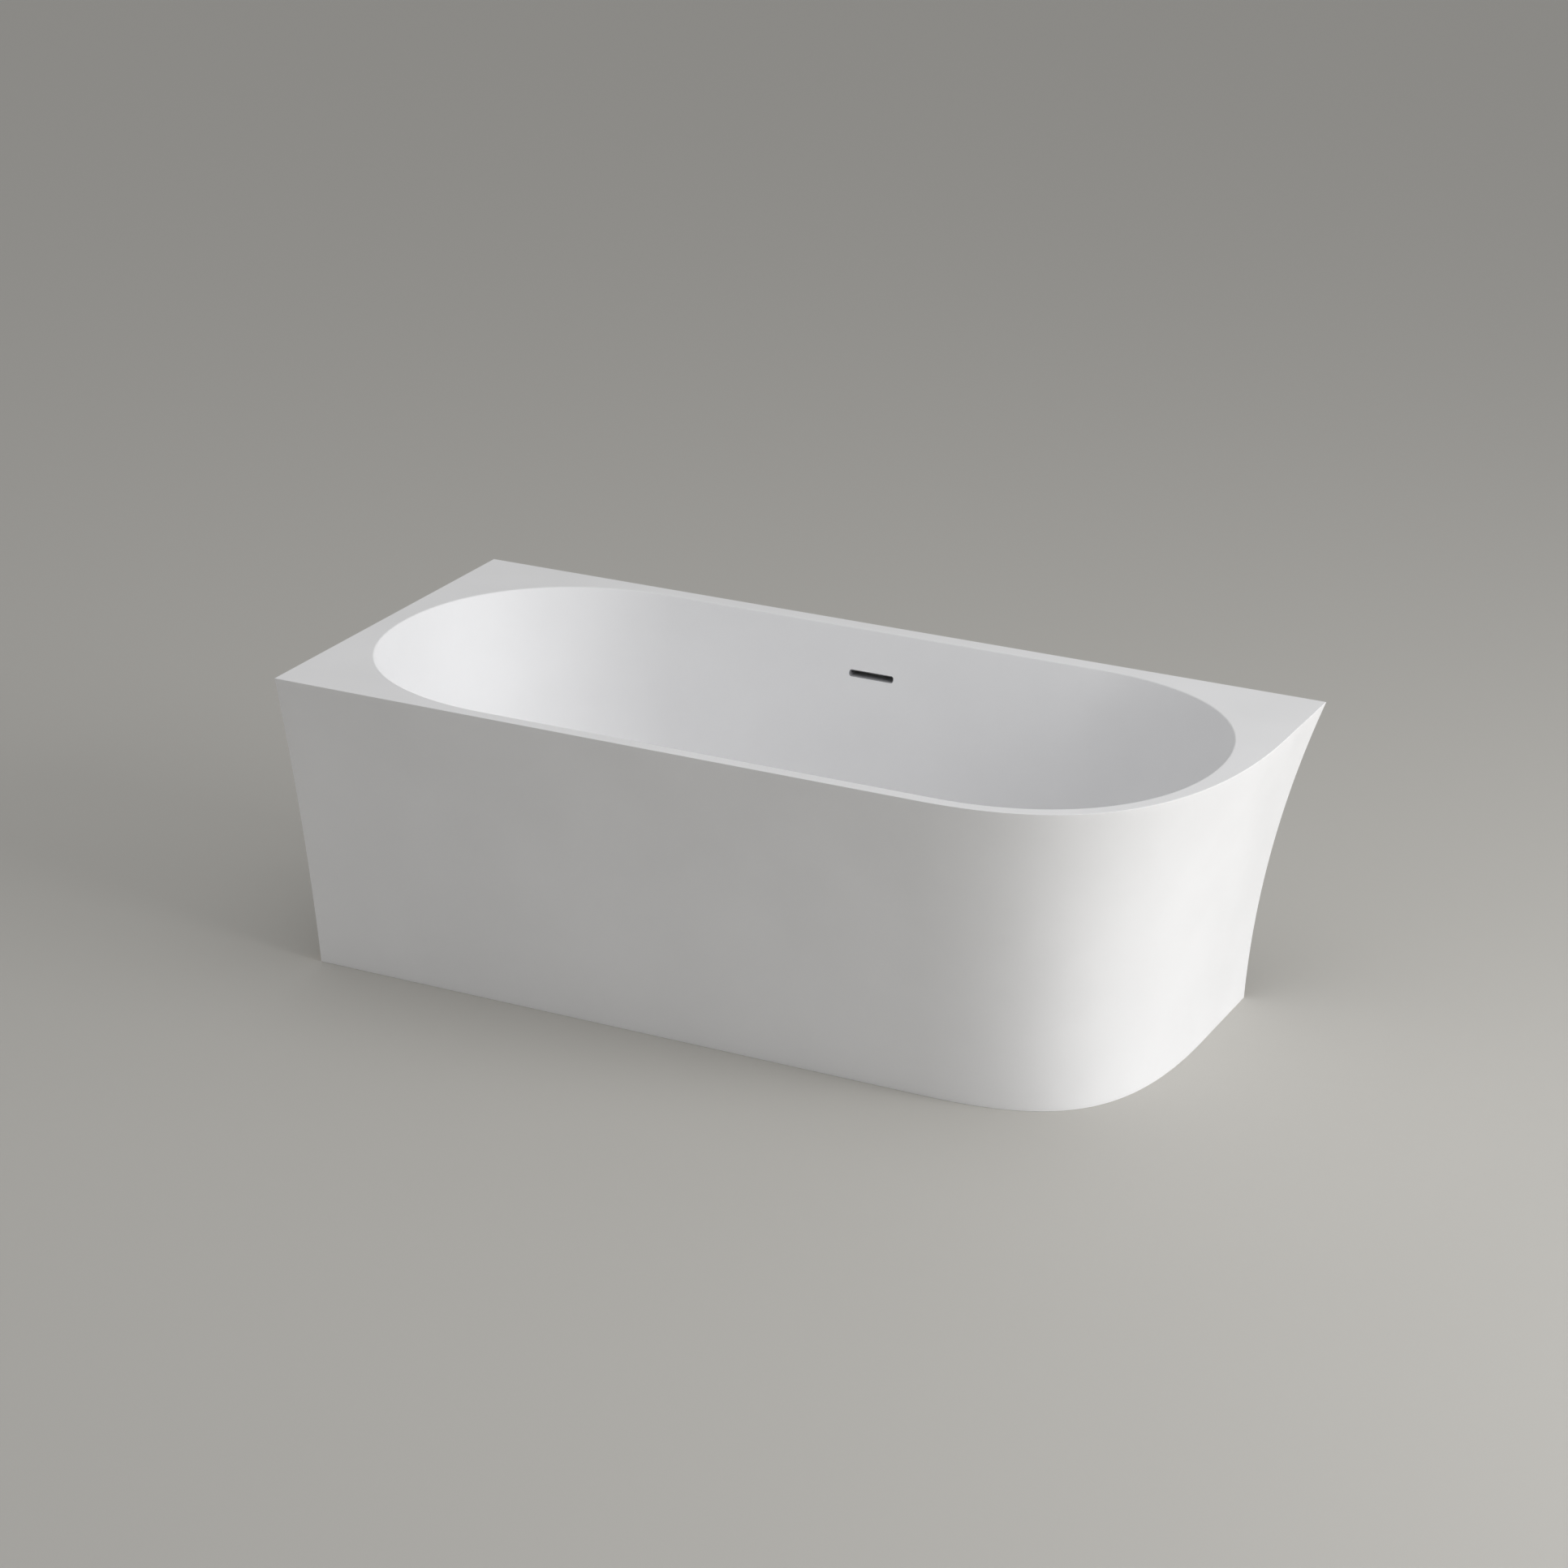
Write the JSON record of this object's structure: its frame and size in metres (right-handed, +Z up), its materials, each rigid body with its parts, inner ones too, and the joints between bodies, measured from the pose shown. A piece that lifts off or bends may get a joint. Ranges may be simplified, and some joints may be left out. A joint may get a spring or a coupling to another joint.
{
  "type": "corner bathtub",
  "caption": "Back-to-wall corner bathtub with a flared one-piece apron, oval basin, slot overflow, lifting waste plug and screw-adjusted feet.",
  "frame": {"origin": "on the floor, under the middle of the rim's bounding rectangle", "axes": "+X along the back wall from the left wall to the rounded end, +Y towards the back wall, +Z up"},
  "size_m": [1.7, 0.78, 0.6],
  "materials": {
    "cast_white": "matt cast mineral, honed",
    "plywood": "sanded plywood",
    "zinc_steel": "zinc plated",
    "black_plastic": "moulded, fine grain",
    "white_plastic": "moulded polypropylene",
    "chromed": "chromed and polished",
    "brass": "turned",
    "black_rubber": "moulded"
  },
  "bodies": {
    "bath": {"bath_shell": "cast_white", "outer_apron": "cast_white", "plinth_batten": "plywood", "edge_rib_left": "white_plastic", "edge_rib_right": "white_plastic", "base_board": "plywood", "long_rail_front": "zinc_steel", "long_rail_back": "zinc_steel", "cross_rail_left": "zinc_steel", "cross_rail_right": "zinc_steel", "rail_end_caps": "black_plastic", "apron_brackets": "zinc_steel", "foot_weld_nuts": "zinc_steel", "foot_lock_nuts": "zinc_steel", "waste_flange": "chromed", "waste_top_gasket": "black_rubber", "waste_bottom_gasket": "black_rubber", "waste_body": "white_plastic", "click_cartridge": "brass", "overflow_lining": "black_plastic", "overflow_gasket": "black_rubber", "overflow_box": "white_plastic", "overflow_pipe": "white_plastic", "overflow_nuts": "white_plastic", "trap_body": "white_plastic", "trap_union_nut": "white_plastic", "trap_outlet_nut": "white_plastic", "outlet_pipe": "white_plastic", "wall_brackets": "zinc_steel"},
    "plug": {"plug_cap": "chromed", "plug_seal": "black_rubber", "plug_plunger": "chromed"},
    "foot_pad_left_front": {"foot_pad_left_front": "black_rubber"},
    "foot_stem_left_front": {"foot_stem_left_front": "zinc_steel"},
    "foot_pad_left_back": {"foot_pad_left_back": "black_rubber"},
    "foot_stem_left_back": {"foot_stem_left_back": "zinc_steel"},
    "foot_pad_right_front": {"foot_pad_right_front": "black_rubber"},
    "foot_stem_right_front": {"foot_stem_right_front": "zinc_steel"},
    "foot_pad_right_back": {"foot_pad_right_back": "black_rubber"},
    "foot_stem_right_back": {"foot_stem_right_back": "zinc_steel"}
  },
  "joints": [
    {"name": "plug_lift", "type": "slide", "parent": "bath", "child": "plug", "axis": [0, 0, 1], "range_m": [0, 0.009]},
    {"name": "foot_height_left_front", "type": "slide", "parent": "bath", "child": "foot_pad_left_front", "axis": [0, 0, -1], "range_m": [0, 0.0175]},
    {"name": "foot_turn_left_front", "type": "hinge", "parent": "foot_pad_left_front", "child": "foot_stem_left_front", "pos_m": [-0.54693, -0.16, 0.05], "axis": [0, 0, -1], "range_deg": [0, 3600.1]},
    {"name": "foot_height_left_back", "type": "slide", "parent": "bath", "child": "foot_pad_left_back", "axis": [0, 0, -1], "range_m": [0, 0.0175]},
    {"name": "foot_turn_left_back", "type": "hinge", "parent": "foot_pad_left_back", "child": "foot_stem_left_back", "pos_m": [-0.54693, 0.16, 0.05], "axis": [0, 0, -1], "range_deg": [0, 3600.1]},
    {"name": "foot_height_right_front", "type": "slide", "parent": "bath", "child": "foot_pad_right_front", "axis": [0, 0, -1], "range_m": [0, 0.0175]},
    {"name": "foot_turn_right_front", "type": "hinge", "parent": "foot_pad_right_front", "child": "foot_stem_right_front", "pos_m": [0.35993, -0.16, 0.05], "axis": [0, 0, -1], "range_deg": [0, 3600.1]},
    {"name": "foot_height_right_back", "type": "slide", "parent": "bath", "child": "foot_pad_right_back", "axis": [0, 0, -1], "range_m": [0, 0.0175]},
    {"name": "foot_turn_right_back", "type": "hinge", "parent": "foot_pad_right_back", "child": "foot_stem_right_back", "pos_m": [0.35993, 0.16, 0.05], "axis": [0, 0, -1], "range_deg": [0, 3600.1]}
  ],
  "couplings": [
    {"joint": "foot_turn_left_front", "follows": "foot_height_left_front", "rad_per_m": 3590.4},
    {"joint": "foot_turn_left_back", "follows": "foot_height_left_back", "rad_per_m": 3590.4},
    {"joint": "foot_turn_right_front", "follows": "foot_height_right_front", "rad_per_m": 3590.4},
    {"joint": "foot_turn_right_back", "follows": "foot_height_right_back", "rad_per_m": 3590.4}
  ]
}
